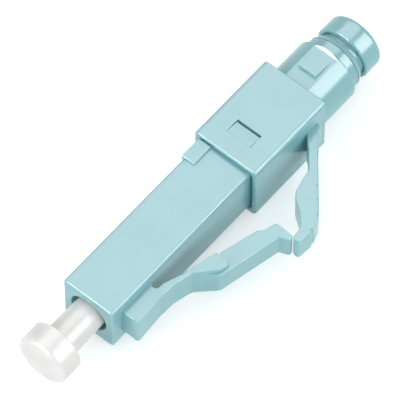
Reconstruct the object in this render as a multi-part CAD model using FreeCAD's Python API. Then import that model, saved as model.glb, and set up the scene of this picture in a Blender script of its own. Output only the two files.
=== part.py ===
import FreeCAD, Part

import math
import os

# LC fibre connector, field-assembled, lying on its side face. Millimetres.
# +X runs forward along the optical axis, +Y points to the latch, +Z is up.
# The origin is the centre of the ferrule's tip. Places along the connector are
# given as distances behind the plug's front face, and at() turns them into X.

V = FreeCAD.Vector
X_AXIS, Y_AXIS, Z_AXIS = V(1, 0, 0), V(0, 1, 0), V(0, 0, 1)
PAST = 1.0  # how far a cutting tool runs past what it cuts
TINY = 1e-6  # lengths below this are nothing
STRAIGHT = 1e-3  # radians; a corner as flat as this is left alone
ROOM = 0.49  # share of a side that one rounded corner may take up

# ---- fits and clearances -------------------------------------------------
glue_gap = 0.005  # bonded or pressed pieces, radial
seat_gap = 0.02  # flat faces that bear on each other
snap_gap = 0.03  # snapped and push-fitted housings
running_gap = 0.05  # thread crests and sliding sleeves, radial
hinge_gap = 0.03  # round a flexure's knuckle
float_gap = 0.06  # round what the ferrule carries with it

# ---- ferrule and the fibre in it -----------------------------------------
ferrule_dia = 1.249
ferrule_length = 6.5
ferrule_protrusion = 1.8  # tip ahead of the plug's front face
ferrule_tip_chamfer = 0.18
fibre_dia = 0.125
fibre_gap = 0.0015
ferrule_travel = 0.8

# ---- plug, the front housing ---------------------------------------------
plug_width = 4.5
plug_edge_radius = 0.26
plug_front_radius = 0.14
plug_length = 19.4
mouth_dia = 3.2
mouth_depth = 3.9
mouth_lead_in = 0.06
seat_wall = 0.8
seat_hole_dia = 2.6
plug_bore_dia = 3.5
tab_front = 16.56  # snap tab that locks into the rear housing's window
tab_length = 1.14
tab_width = 2.1
tab_sunk = 0.04  # top of the tab below the rear housing's outer face
tab_level_length = 0.285  # level stretch behind its front wall
rib_front = 13.05  # corner rib that stops the rear housing
rib_width = 1.0
rib_proud = 0.2
rib_side_proud = 0.14
rib_edge_radius = 0.09

# ---- latch ---------------------------------------------------------------
latch_root_front = 1.07
latch_root_height = 1.29  # above the plug's side
latch_root_radius = 0.42
latch_half_width = 1.35
latch_arm_thickness = 0.58
latch_slot_front = 3.95
latch_pivot = 4.45  # behind the front face
latch_arm_angle = 17.0  # degrees to the axis, relaxed
latch_knee = 6.62  # where the arm meets the lever
latch_knee_rise = 1.3
latch_knee_run = 1.05
latch_knee_radius = 0.4
lever_half_width = 1.08
lever_inner_angle = 15.0
lever_outer_angle = 12.8
lever_foot_radius = 0.1
lever_rise_run = 0.3  # bend half way up the knee, as a share of its run
lever_rise_height = 0.5  # the same, as a share of its rise
lever_rise_radius = 0.3
lever_crest_ahead = 0.25  # where the crest starts, ahead of the knee's end
lever_crest_drop = 0.06  # how much lower it is there
lever_crest_radius = 0.35
lever_end = 13.74
lever_lip_height = 0.8
lever_lip_run = 0.8
lever_lip_top = 0.3  # from the lip's foot to its crest
lever_end_slant = 0.1
lever_lip_radius = 0.2
lever_end_height = 0.85  # of the end's outer corner, as a share of the lip's height
lever_end_radius = 0.14
lever_toe_radius = 0.22  # at the end's inner corner
lever_thin_length = 1.45  # thinner stretch at the lever's end
lever_thin_depth = 0.28
lever_thin_run = 0.5  # slope into the thinner stretch
lever_thin_radius = 0.3
lug_shoulder = 8.95  # locking face of the two side lugs
lug_half_width = 1.45
lug_shoulder_height = 1.34
lug_crest_length = 1.0
lug_crest_radius = 0.4
lug_shoulder_radius = 0.08
lug_flare_run = 0.55  # share of the run from knee to shoulder over which the lugs widen
latch_edge_radius = 0.1

# ---- rear housing --------------------------------------------------------
sleeve_wall = 0.56
sleeve_front = 15.0
sleeve_length = 7.88
sleeve_edge_radius = 0.36
sleeve_end_radius = 0.12
sleeve_mouth_chamfer = 0.26
sleeve_mouth_run = 1.5  # length of the mouth's slope for each unit of its depth
window_front = 16.5
window_length = 1.26
window_width = 2.22
ridge_height = 0.12  # annular snap ridge on the tail body's nose
ridge_length = 0.5
ridge_crest_share = 0.4  # level share of its length

# ---- trigger -------------------------------------------------------------
trigger_root = 21.4  # middle of the arm where it leaves the rear housing
trigger_angle = 40.0
trigger_thickness = 0.72
trigger_pivot_out = 0.5  # pivot above the rear housing's side
trigger_half_width = 1.2
trigger_root_bite = 0.25  # how far its root runs on into the wall, as a share of the half width
trigger_arm_length = 2.75  # from the pivot to where the pad thickens
trigger_arm_radius = 0.7
trigger_pad_end = 6.7
trigger_pad_run = 0.6  # where the pad's back starts to bend, ahead of its end
trigger_pad_radius = 1.6
trigger_heel_run = 0.1  # corner between pad and tongue, past the pad's end
trigger_heel_share = 0.3  # its height, as a share of half the thickness
trigger_heel_radius = 0.5
trigger_belly = 0.95  # how far the finger pad bulges inward of the arm
trigger_belly_front = 5.15
trigger_belly_rear = 4.55
trigger_chin = 6.1  # where the belly has run back towards the arm
trigger_chin_share = 0.72  # bulge that is left there
trigger_chin_radius = 0.8
trigger_jaw_run = 0.25  # inner corner between pad and tongue, past the pad's end
trigger_jaw_share = 0.62  # bulge that is left there
trigger_jaw_radius = 0.5
trigger_throat = 3.65  # half way up the belly's rear slope
trigger_throat_share = 0.5
trigger_belly_radius = 0.9
tongue_half_width = 0.8
tongue_front = 13.46  # end of the tongue, behind the front face
tongue_inner = 7.4  # above the axis
tongue_thickness = 0.78
tongue_step = 15.2
tongue_bend_run = 0.4  # outer bend into the tongue, ahead of the step
tongue_bend_radius = 0.6
tongue_end_slope = 0.1
tongue_end_radius = 0.3
tongue_toe_run = 0.6
tongue_shoulder_run = 0.12  # length of the step in width
tongue_shoulder_radius = 0.15
tongue_neck_radius = 0.12
grip_groove_first = 0.75  # behind the arm's end
grip_groove_lift = 0.02  # centre of the groove above the pad
grip_groove_radius = 0.11
grip_groove_pitch = 1.33
grip_groove_count = 3
trigger_edge_radius = 0.1

# ---- tail body and its clamp nut -----------------------------------------
spigot_length = 1.2
spigot_end_radius = 0.1
nose_end_radius = 0.1
barrel_front_radius = 0.12
barrel_dia = 5.26
barrel_length = 3.65
barrel_end_radius = 0.12
flat_height = 2.41  # of the two flats above the axis
flat_length = 3.4
catch_front = 24.15
catch_length = 1.9
catch_width = 1.56
catch_height = 0.27
catch_level_length = 0.2  # level stretch behind its wall
neck_dia = 4.62
neck_length = 0.8
neck_foot_radius = 0.05
neck_groove_width = 0.1
neck_groove_depth = 0.08
neck_cone_length = 0.5
neck_cone_dia = 4.16
cone_end_radius = 0.1
thread_dia = 3.8
thread_length = 1.65
jaw_taper_length = 0.4
jaw_taper = 0.33
jaw_slot_width = 0.35
jaw_slot_count = 4
jaw_slot_first = 45.0  # degrees round the axis
cable_bore_dia = 2.2  # also the hole through the nut
nose_bore_dia = 1.7
nut_dia = 4.6
nut_gap = 0.35  # thread that shows ahead of the nut
nut_length = 1.8
nut_front_radius = 0.16
nut_rear_radius = 0.42
nut_rear_wall = 0.4
nut_lead_in = 0.08
nut_hole_radius = 0.1

# ---- dust cap ------------------------------------------------------------
cap_stem_dia = 2.46
cap_stem_draft = 1.1  # degrees
cap_depth = 2.9  # how far the stem reaches into the plug
cap_head_dia = 4.22
cap_head_back = 3.22  # ahead of the plug's front face
cap_head_length = 1.96
cap_head_front_radius = 0.46
cap_head_back_radius = 0.1
cap_dome = 0.06
cap_grip = 0.011  # radial room round the ferrule
cap_lead_in = 0.12  # radial, at the stem's open end
cap_lead_run = 0.2
cap_stem_radius = 0.15
cap_neck_radius = 0.2
cap_blind_radius = 0.1
cap_blind_gap = 0.8  # between the ferrule's tip and the blind bore's floor

# ---- ferrule flange, splice and spring -----------------------------------
boss_dia = 2.1
boss_front = 3.4
collar_across_flats = 2.72
collar_length = 1.2
shank_dia = 1.7
shank_length = 1.25
flange_bore_dia = 0.7
splice_dia = 2.7
splice_ring_dia = 3.1
spring_room = 4.3  # from the guide's ring to the tail body's spigot
guide_ring_length = 0.9
cover_gap = 0.1  # between the two cover plates, lengthwise
plate_gap = 0.01  # between base and cover
groove_half_angle = 30.0  # degrees, of the V in which the fibres lie
clip_thickness = 0.15
clip_length = 2.3
clip_opening = 0.9
stub_end = 10.3
guide_dia = 1.28
guide_bore_dia = 0.27
guide_funnel_dia = 0.95
guide_funnel_length = 1.6
guide_length = 5.0
guide_edge_radius = 0.05
spring_dia = 2.9
spring_wire_dia = 0.26
spring_turns = 4.5

# ---- sizes that follow ---------------------------------------------------
plug_half = plug_width / 2
sleeve_half = plug_half + snap_gap + sleeve_wall
sleeve_rear = sleeve_front + sleeve_length
arm_half = latch_arm_thickness / 2
trigger_half = trigger_thickness / 2
root_top = plug_half + latch_root_height
seat_rear = mouth_depth + seat_wall
collar_front = seat_rear + seat_gap
collar_rear = collar_front + collar_length
splice_front = collar_rear + seat_gap
shank_rear = splice_front + shank_length
spigot_front = plug_length + seat_gap - spigot_length
guide_ring_rear = spigot_front - spring_room
splice_rear = guide_ring_rear - guide_ring_length
nose_radius = plug_half - snap_gap
barrel_front = sleeve_rear + seat_gap
barrel_rear = barrel_front + barrel_length
neck_rear = barrel_rear + neck_length
cone_rear = neck_rear + neck_cone_length
thread_rear = cone_rear + thread_length
nut_front = cone_rear + nut_gap
nut_rear = nut_front + nut_length


def at(behind):
    """X of a place given as its distance behind the plug's front face."""
    return -(ferrule_protrusion + behind)


latch_centre = V(at(latch_pivot), root_top - arm_half, 0)
trigger_along = V(math.cos(math.radians(trigger_angle)), math.sin(math.radians(trigger_angle)), 0)
trigger_out = V(-trigger_along.y, trigger_along.x, 0)
trigger_centre = V(at(trigger_root), sleeve_half, 0) + trigger_along * (
    trigger_pivot_out / trigger_along.y
)


# ---- drawing helpers -----------------------------------------------------
def rounded_wire(corners, place):
    """Closed wire through corners (a, b, radius); place turns (a, b) into a point."""
    points = [V(a, b, 0) for a, b, _ in corners]
    ends = []
    for i, (_, _, radius) in enumerate(corners):
        here, back, ahead = points[i], points[i - 1], points[(i + 1) % len(points)]
        to_back, to_ahead = back - here, ahead - here
        half = to_back.getAngle(to_ahead) / 2
        room = ROOM * min(to_back.Length, to_ahead.Length)
        radius = min(radius, room * math.tan(half))
        if radius < TINY or math.pi / 2 - half < STRAIGHT:
            ends.append((here, here, None))
            continue
        to_back.normalize()
        to_ahead.normalize()
        run = radius / math.tan(half)
        middle = to_back + to_ahead
        middle.normalize()
        crown = here + middle * (radius / math.sin(half) - radius)
        ends.append((here + to_back * run, here + to_ahead * run, crown))
    edges = []
    for i, (arrive, leave, crown) in enumerate(ends):
        if crown is not None:
            arc = Part.Arc(place(arrive.x, arrive.y), place(crown.x, crown.y), place(leave.x, leave.y))
            edges.append(arc.toShape())
        following = ends[(i + 1) % len(ends)][0]
        if (following - leave).Length > TINY:
            edges.append(Part.makeLine(place(leave.x, leave.y), place(following.x, following.y)))
    return Part.Wire(Part.__sortEdges__(edges))


def plan_prism(corners, half_width):
    """A plan outline (x, y, radius) made solid from -half_width to half_width in Z."""
    wire = rounded_wire(corners, lambda x, y: V(x, y, -half_width))
    return Part.Face(wire).extrude(V(0, 0, 2 * half_width))


def side_prism(corners, y_low, y_high):
    """A side outline (x, z, radius) made solid between two values of Y."""
    wire = rounded_wire(corners, lambda x, z: V(x, y_low, z))
    return Part.Face(wire).extrude(V(0, y_high - y_low, 0))


def bar(x_low, x_high, half_y, half_z, radius):
    """A bar along X with rounded long edges."""
    corners = [
        (-half_y, -half_z, radius),
        (half_y, -half_z, radius),
        (half_y, half_z, radius),
        (-half_y, half_z, radius),
    ]
    wire = rounded_wire(corners, lambda y, z: V(x_low, y, z))
    return Part.Face(wire).extrude(V(x_high - x_low, 0, 0))


def turned(corners):
    """An outline (x, radius from the axis, corner radius) turned round the X axis."""
    wire = rounded_wire(corners, lambda x, r: V(x, r, 0))
    return Part.Face(wire).revolve(V(0, 0, 0), X_AXIS, 360)


def rod(x_low, x_high, dia):
    """A round rod on the optical axis."""
    return Part.makeCylinder(dia / 2, x_high - x_low, V(x_low, 0, 0), X_AXIS)


def box(x_low, x_high, y_low, y_high, z_low, z_high):
    """A box between the given limits."""
    size = (x_high - x_low, y_high - y_low, z_high - z_low)
    return Part.makeBox(*size, V(x_low, y_low, z_low))


def pin_z(centre, radius, half_width):
    """A round pin along Z through centre."""
    return Part.makeCylinder(radius, 2 * half_width, centre - Z_AXIS * half_width, Z_AXIS)


def ease(shape, radius, wanted):
    """Round the edges that wanted(edge) picks."""
    edges = [e for e in shape.Edges if wanted(e)]
    return shape.makeFillet(radius, edges)


def on_level(edge, axis, value):
    """True if the whole edge lies at one value of X, Y or Z."""
    box_of = edge.BoundBox
    low = (box_of.XMin, box_of.YMin, box_of.ZMin)[axis]
    high = (box_of.XMax, box_of.YMax, box_of.ZMax)[axis]
    return abs(low - value) < STRAIGHT and abs(high - value) < STRAIGHT


def cleaned(shape):
    """One solid with its split faces joined."""
    return shape.removeSplitter()


# ---- plug ----------------------------------------------------------------
def plug_shell():
    """The square plug with its mouth, the wall that seats the flange, and its bore."""
    rear, front = at(plug_length), at(0)
    shell = bar(rear, front, plug_half, plug_half, plug_edge_radius)
    shell = ease(shell, plug_front_radius, lambda e: on_level(e, 0, front))
    mouth = rod(at(mouth_depth), front + PAST, mouth_dia)
    seat_hole = rod(at(seat_rear) - PAST, front, seat_hole_dia)
    bore = rod(rear - PAST, at(seat_rear), plug_bore_dia)
    wide = mouth_dia / 2 + mouth_lead_in
    lead_in = turned([(front - mouth_lead_in, 0, 0), (front - mouth_lead_in, mouth_dia / 2, 0),
                      (front + PAST, wide + PAST, 0), (front + PAST, 0, 0)])
    return shell.cut(mouth).cut(seat_hole).cut(bore).cut(lead_in)


def snap_tab(side):
    """Ramped tab on a side face: high at its front, running out to the rear."""
    front, rear = at(tab_front), at(tab_front + tab_length)
    low, high = side * (plug_half - wall_bite()), side * (sleeve_half - tab_sunk)
    corners = [(front, low, 0), (front, high, 0), (front - tab_level_length, high, 0),
               (rear, side * plug_half, 0), (rear, low, 0)]
    return side_prism(corners, -tab_width / 2, tab_width / 2)


def wall_bite():
    """How deep an added feature is rooted in the plug's wall."""
    return (plug_width - plug_bore_dia) / 4


def corner_rib(side):
    """Low rib along a corner that the rear housing butts against."""
    low_y = -plug_half - rib_side_proud
    rib = box(at(sleeve_front - seat_gap), at(rib_front), low_y, low_y + rib_side_proud + rib_width,
              plug_half - wall_bite(), plug_half + rib_proud)
    rib = ease(rib, rib_edge_radius, lambda e: on_level(e, 2, plug_half + rib_proud))
    if side < 0:
        rib = rib.mirror(V(0, 0, 0), Z_AXIS)
    return rib


def latch_root():
    """The block that carries the latch, with the slot's round end and the knuckle's seat."""
    front, end = at(latch_root_front), at(latch_pivot)
    low = plug_half - wall_bite()
    corners = [(front, low, 0), (front, root_top, latch_root_radius), (end, root_top, 0), (end, low, 0)]
    block = plan_prism(corners, latch_half_width)
    block = ease(block, latch_edge_radius,
                 lambda e: (on_level(e, 2, latch_half_width) or on_level(e, 2, -latch_half_width))
                 and not on_level(e, 1, low) and not on_level(e, 0, end))
    slot_top = root_top - latch_arm_thickness
    slot_radius = (slot_top - plug_half) / 2
    slot_centre = V(at(latch_slot_front + slot_radius), plug_half + slot_radius, 0)
    reach = latch_half_width + PAST
    slot = pin_z(slot_centre, slot_radius, reach).fuse(
        box(end - PAST, slot_centre.x, plug_half, slot_top, -reach, reach))
    beyond = box(end - PAST, end, plug_half, root_top + PAST, -reach, reach)
    knuckle_seat = pin_z(latch_centre, arm_half + hinge_gap, reach)
    return block.cut(slot).cut(beyond).cut(knuckle_seat)


def front_housing():
    """Plug body with snap tabs, corner ribs and the latch's root."""
    body = plug_shell()
    for side in (1, -1):
        body = body.fuse(snap_tab(side)).fuse(corner_rib(side))
    return cleaned(body.fuse(latch_root()))


# ---- latch ---------------------------------------------------------------
def slope(degrees):
    """Rise for each unit of run."""
    return math.tan(math.radians(degrees))


def arm_line(behind, outer):
    """Height of the latch arm's outer or inner face at a place behind the front face."""
    off_axis = arm_half / math.cos(math.radians(latch_arm_angle))
    middle = latch_centre.y + (behind - latch_pivot) * slope(latch_arm_angle)
    return middle + off_axis if outer else middle - off_axis


def lever_inner(behind):
    """Height of the lever's inner face."""
    return arm_line(latch_knee, False) + (behind - latch_knee) * slope(lever_inner_angle)


def lever_outer(behind):
    """Height of the lever's outer face, rearward of the knee."""
    crest = arm_line(latch_knee, True) + latch_knee_rise
    return crest + (behind - latch_knee - latch_knee_run) * slope(lever_outer_angle)


def arm_and_lugs():
    """The springy arm, as wide as the two side lugs that it runs into."""
    tilt = math.radians(latch_arm_angle)
    up = V(math.sin(tilt), math.cos(tilt), 0) * arm_half
    start_out, start_in = latch_centre + up, latch_centre - up
    crest = lever_inner(lug_shoulder) + lug_shoulder_height
    corners = [
        (start_out.x, start_out.y, 0),
        (at(latch_knee), arm_line(latch_knee, True), latch_knee_radius),
        (at(lug_shoulder - lug_crest_length), crest - lug_crest_length * slope(lever_outer_angle),
         lug_crest_radius),
        (at(lug_shoulder), crest, lug_shoulder_radius),
        (at(lug_shoulder), lever_inner(lug_shoulder), lug_shoulder_radius),
        (at(latch_knee), arm_line(latch_knee, False), 0),
        (start_in.x, start_in.y, 0),
    ]
    plan = plan_prism(corners, lug_half_width)
    front, rise_end = latch_centre.x, at(latch_knee + lug_flare_run * (lug_shoulder - latch_knee))
    rear, rise_start = at(lug_shoulder) - PAST, at(latch_knee)
    width = side_prism([
        (front + PAST, -latch_half_width, 0), (front + PAST, latch_half_width, 0),
        (rise_start, latch_half_width, 0), (rise_end, lug_half_width, 0), (rear, lug_half_width, 0),
        (rear, -lug_half_width, 0), (rise_end, -lug_half_width, 0), (rise_start, -latch_half_width, 0),
    ], latch_centre.y - 2 * PAST, crest + PAST)
    return plan.common(width)


def lever():
    """The thumb lever: the knee, the tapering lever and the raised lip at its end."""
    knee_x = at(latch_knee)
    knee_out = arm_line(latch_knee, True)
    crest_at = latch_knee + latch_knee_run
    lip_at = lever_end - lever_lip_run
    thin_at = lever_end - lever_thin_length
    end_inner = lever_inner(lever_end) + lever_thin_depth
    corners = [
        (knee_x, knee_out - arm_half, 0),
        (knee_x, knee_out, lever_foot_radius),
        (at(latch_knee + lever_rise_run * latch_knee_run), knee_out + lever_rise_height * latch_knee_rise,
         lever_rise_radius),
        (at(crest_at - lever_crest_ahead), lever_outer(crest_at) - lever_crest_drop, lever_crest_radius),
        (at(lip_at), lever_outer(lip_at), lever_lip_radius),
        (at(lip_at + lever_lip_top), lever_outer(lip_at) + lever_lip_height, lever_lip_radius),
        (at(lever_end - lever_end_slant), lever_outer(lip_at) + lever_end_height * lever_lip_height,
         lever_end_radius),
        (at(lever_end), end_inner, lever_toe_radius),
        (at(thin_at + lever_thin_run), lever_inner(thin_at + lever_thin_run) + lever_thin_depth,
         lever_thin_radius),
        (at(thin_at), lever_inner(thin_at), lever_thin_radius),
        (knee_x, lever_inner(latch_knee), 0),
    ]
    solid = plan_prism(corners, lever_half_width)
    return ease(solid, latch_edge_radius,
                lambda e: on_level(e, 2, lever_half_width) or on_level(e, 2, -lever_half_width))


def latch_arm():
    """Latch from its flexure to the end of the lever."""
    knuckle = pin_z(latch_centre, arm_half, latch_half_width)
    return cleaned(arm_and_lugs().fuse(knuckle).fuse(lever()))


# ---- rear housing --------------------------------------------------------
def sleeve_bore():
    """Square bore for the plug, then a round one for the tail body's nose, with its snap groove."""
    front, step = at(sleeve_front), at(plug_length + seat_gap)
    half = plug_half + snap_gap
    square = bar(step, front + PAST, half, half, plug_edge_radius - snap_gap)
    round_part = rod(at(sleeve_rear) - PAST, step + seat_gap, 2 * (nose_radius + snap_gap))
    wide = half + sleeve_mouth_chamfer
    mouth = Part.makeLoft([
        rounded_wire([(-a, -a, r), (a, -a, r), (a, a, r), (-a, a, r)], lambda y, z, x=x: V(x, y, z))
        for x, a, r in ((front - sleeve_mouth_run * sleeve_mouth_chamfer, half - snap_gap, plug_edge_radius),
                        (front + snap_gap, wide, plug_edge_radius + sleeve_mouth_chamfer))
    ], True)
    return square.fuse(round_part).fuse(snap_ridge(snap_gap)).fuse(mouth)


def snap_ridge(clearance):
    """Annular ridge round the nose; with a clearance it is the groove that takes it."""
    middle = at((plug_length + sleeve_rear) / 2)
    half = ridge_length / 2 + clearance
    crest = nose_radius + ridge_height + clearance
    base = nose_radius - ridge_height
    return turned([(middle - half, base, 0), (middle - half * ridge_crest_share, crest, 0),
                   (middle + half * ridge_crest_share, crest, 0), (middle + half, base, 0)])


def trigger_stub():
    """Short root of the trigger on the rear housing, hollowed to seat its knuckle."""
    reach = trigger_pivot_out / trigger_along.y
    low = trigger_centre - trigger_along * (reach + sleeve_half * trigger_root_bite)
    corners = []
    for point, side in ((low, -1), (low, 1), (trigger_centre, 1), (trigger_centre, -1)):
        spot = point + trigger_out * (side * trigger_half)
        corners.append((spot.x, spot.y, 0))
    stub = plan_prism(corners, trigger_half_width)
    inside = box(at(sleeve_rear), at(sleeve_front), -sleeve_half, nose_radius + 2 * ridge_height,
                 -sleeve_half, sleeve_half)
    seat = pin_z(trigger_centre, trigger_half + hinge_gap, trigger_half_width + PAST)
    return stub.cut(inside).cut(seat)


def rear_housing():
    """Square sleeve over the plug's rear, with its windows and the trigger's root."""
    rear, front = at(sleeve_rear), at(sleeve_front)
    shell = bar(rear, front, sleeve_half, sleeve_half, sleeve_edge_radius)
    shell = ease(shell, sleeve_end_radius, lambda e: on_level(e, 0, front) or on_level(e, 0, rear))
    shell = shell.fuse(trigger_stub())
    window = box(at(window_front + window_length), at(window_front), -window_width / 2,
                 window_width / 2, -sleeve_half - PAST, sleeve_half + PAST)
    return cleaned(shell.cut(sleeve_bore()).cut(window))


# ---- trigger -------------------------------------------------------------
def trigger_spot(along, out, radius):
    """A corner of the trigger's plan, given along and outward of its arm from the pivot."""
    spot = trigger_centre + trigger_along * along + trigger_out * out
    return (spot.x, spot.y, radius)


def trigger_plan():
    """Plan outline of the arm, the finger pad with its belly, and the tongue."""
    inner, outer = -trigger_half, trigger_half
    deep = inner - trigger_belly
    tongue_top = tongue_inner + tongue_thickness
    return [
        trigger_spot(0, outer, 0),
        trigger_spot(trigger_pad_end - trigger_pad_run, outer, trigger_pad_radius),
        trigger_spot(trigger_pad_end + trigger_heel_run, trigger_heel_share * outer, trigger_heel_radius),
        (at(tongue_step - tongue_bend_run), tongue_top, tongue_bend_radius),
        (at(tongue_front), tongue_top - tongue_end_slope, tongue_end_radius),
        (at(tongue_front), tongue_inner + tongue_end_slope, tongue_end_radius),
        (at(tongue_front + tongue_toe_run), tongue_inner, tongue_end_radius),
        trigger_spot(trigger_pad_end + trigger_jaw_run, inner - trigger_jaw_share * trigger_belly,
                     trigger_jaw_radius),
        trigger_spot(trigger_chin, inner - trigger_chin_share * trigger_belly, trigger_chin_radius),
        trigger_spot(trigger_belly_front, deep, trigger_belly_radius),
        trigger_spot(trigger_belly_rear, deep, trigger_belly_radius),
        trigger_spot(trigger_throat, inner - trigger_throat_share * trigger_belly, trigger_belly_radius),
        trigger_spot(trigger_arm_length, inner, trigger_arm_radius),
        trigger_spot(0, inner, 0),
    ]


def trigger():
    """Anti-snag trigger: arm, ribbed finger pad and the tongue that presses the latch."""
    plan = plan_prism(trigger_plan(), trigger_half_width)
    rear, step, front = at(sleeve_rear), at(tongue_step), at(tongue_front) + PAST
    width = side_prism([
        (rear, -trigger_half_width, 0), (rear, trigger_half_width, 0),
        (step, trigger_half_width, tongue_shoulder_radius),
        (step + tongue_shoulder_run, tongue_half_width, tongue_neck_radius),
        (front, tongue_half_width, 0), (front, -tongue_half_width, 0),
        (step + tongue_shoulder_run, -tongue_half_width, tongue_neck_radius),
        (step, -trigger_half_width, tongue_shoulder_radius),
    ], 0, tongue_inner + 2 * PAST)
    solid = plan.common(width)
    for i in range(grip_groove_count):
        along = trigger_arm_length + grip_groove_first + i * grip_groove_pitch
        place = trigger_centre + trigger_along * along + trigger_out * (trigger_half + grip_groove_lift)
        solid = solid.cut(pin_z(place, grip_groove_radius, trigger_half_width + PAST))
    return cleaned(solid.fuse(pin_z(trigger_centre, trigger_half, trigger_half_width)))


# ---- tail body -----------------------------------------------------------
def tail_outline():
    """Turned outside of the tail body, from its spigot to the clamping jaws."""
    spigot = plug_bore_dia / 2 - snap_gap
    barrel, neck, thread = barrel_dia / 2, neck_dia / 2, thread_dia / 2
    return [
        (at(spigot_front), 0, 0),
        (at(spigot_front), spigot, spigot_end_radius),
        (at(plug_length + seat_gap), spigot, 0),
        (at(plug_length + seat_gap), nose_radius, nose_end_radius),
        (at(barrel_front), nose_radius, 0),
        (at(barrel_front), barrel, barrel_front_radius),
        (at(barrel_rear), barrel, barrel_end_radius),
        (at(barrel_rear), neck, neck_foot_radius),
        (at(neck_rear), neck, 0),
        (at(cone_rear), neck_cone_dia / 2, cone_end_radius),
        (at(cone_rear), thread, 0),
        (at(thread_rear - jaw_taper_length), thread, 0),
        (at(thread_rear), thread - jaw_taper, 0),
        (at(thread_rear), 0, 0),
    ]


def barrel_flat(side):
    """What is cut off the barrel to leave a flat, running out at the rear."""
    front, rear = at(barrel_front) + seat_gap / 2, at(barrel_front + flat_length)
    high = barrel_dia / 2 + PAST
    corners = [(front, side * flat_height, 0), (rear, side * flat_height, 0),
               (rear - high + flat_height, side * high, 0), (front, side * high, 0)]
    return side_prism(corners, -barrel_dia, barrel_dia)


def ramp_catch(side):
    """Raised catch on the flat: a wall at its front, ramping down to the rear."""
    front, rear = at(catch_front), at(catch_front + catch_length)
    top, low = flat_height + catch_height, flat_height - catch_height
    corners = [(front, side * low, 0), (front, side * top, 0), (front - catch_level_length, side * top, 0),
               (rear, side * flat_height, 0), (rear, side * low, 0)]
    return side_prism(corners, -catch_width / 2, catch_width / 2)


def tail_body():
    """Rear body: spigot and nose inside the housings, barrel, neck and slotted jaws."""
    body = turned(tail_outline()).fuse(snap_ridge(0))
    for side in (1, -1):
        body = body.cut(barrel_flat(side)).fuse(ramp_catch(side))
    groove_rear, groove_front = at(neck_rear), at(neck_rear - neck_groove_width)
    groove = rod(groove_rear, groove_front, neck_dia + PAST).cut(
        rod(groove_rear, groove_front, neck_dia - 2 * neck_groove_depth))
    body = body.cut(groove)
    bore_step = barrel_front + barrel_length / 3
    body = body.cut(rod(at(bore_step), at(spigot_front) + PAST, nose_bore_dia))
    body = body.cut(rod(at(thread_rear) - PAST, at(bore_step), cable_bore_dia))
    for i in range(jaw_slot_count // 2):
        slot = box(at(thread_rear) - PAST, at(cone_rear + jaw_slot_width), -thread_dia, thread_dia,
                   -jaw_slot_width / 2, jaw_slot_width / 2)
        slot.rotate(V(0, 0, 0), X_AXIS, jaw_slot_first + i * 360 / jaw_slot_count)
        body = body.cut(slot)
    return cleaned(body)


def clamp_nut():
    """Round nut that closes the jaws on the cable."""
    inner = thread_dia / 2 + running_gap
    floor = nut_rear - nut_rear_wall
    outer = nut_dia / 2
    taper_start = thread_rear - jaw_taper_length
    corners = [
        (at(nut_front), inner + nut_lead_in, 0),
        (at(nut_front), outer, nut_front_radius),
        (at(nut_rear), outer, nut_rear_radius),
        (at(nut_rear), cable_bore_dia / 2, nut_hole_radius),
        (at(floor), cable_bore_dia / 2, 0),
        (at(floor), inner - jaw_taper, 0),
        (at(taper_start), inner, 0),
        (at(nut_front + nut_lead_in), inner, 0),
    ]
    return turned(corners)


# ---- dust cap ------------------------------------------------------------
def dust_cap():
    """Push-on cap: a drafted stem over the ferrule and a round head to pull it by."""
    tail, back = at(cap_depth), at(-cap_head_back)
    front = back + cap_head_length
    stem_end = cap_stem_dia / 2
    stem_root = stem_end + (back - tail) * slope(cap_stem_draft)
    bore = ferrule_dia / 2 + cap_grip
    floor = cap_blind_gap
    head = cap_head_dia / 2
    corners = [
        (tail, bore + cap_lead_in, 0),
        (tail, stem_end, cap_stem_radius),
        (back, stem_root, cap_neck_radius),
        (back, head, cap_head_back_radius),
        (front, head, cap_head_front_radius),
        (front + cap_dome, 0, 0),
        (floor, 0, 0),
        (floor, bore, cap_blind_radius),
        (tail + cap_lead_run, bore, 0),
    ]
    return turned(corners)


# ---- what floats inside --------------------------------------------------
def ferrule():
    """Zirconia ferrule with its fibre hole."""
    radius, hole = ferrule_dia / 2, fibre_dia / 2 + fibre_gap
    return turned([
        (-ferrule_length, hole, 0), (-ferrule_length, radius, 0),
        (-2 * ferrule_tip_chamfer, radius, 0), (0, radius - ferrule_tip_chamfer, 0), (0, hole, 0),
    ])


def fibre_stub():
    """Stub of fibre fixed in the ferrule, ending in the splice."""
    return rod(at(stub_end), 0, fibre_dia)


def ferrule_flange():
    """Metal flange pressed on the ferrule: boss, six-sided collar and shank."""
    boss = rod(at(collar_front), at(boss_front), boss_dia)
    shank = rod(at(shank_rear), at(collar_rear), shank_dia)
    corner = collar_across_flats / 2 / math.cos(math.radians(30))
    turns = [math.radians(60 * i) for i in range(6)]
    hexagon = [(corner * math.cos(t), corner * math.sin(t), 0) for t in turns]
    wire = rounded_wire(hexagon, lambda y, z: V(at(collar_rear), y, z))
    collar = Part.Face(wire).extrude(V(collar_length, 0, 0))
    flange = boss.fuse(shank).fuse(collar)
    socket = rod(-ferrule_length - seat_gap, 0, ferrule_dia + 2 * glue_gap)
    bore = rod(at(shank_rear) - PAST, 0, flange_bore_dia)
    return cleaned(flange.cut(socket).cut(bore))


def fibre_groove(x_low, x_high):
    """V-groove in which the fibres lie, cut from a base whose top is at Z = 0."""
    depth = fibre_dia / 2 + fibre_dia + fibre_gap
    half = depth * slope(groove_half_angle)
    face = Part.Face(Part.makePolygon([
        V(x_low, 0, -depth), V(x_low, half, 0), V(x_low, -half, 0), V(x_low, 0, -depth)]))
    return face.extrude(V(x_high - x_low, 0, 0))


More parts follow.
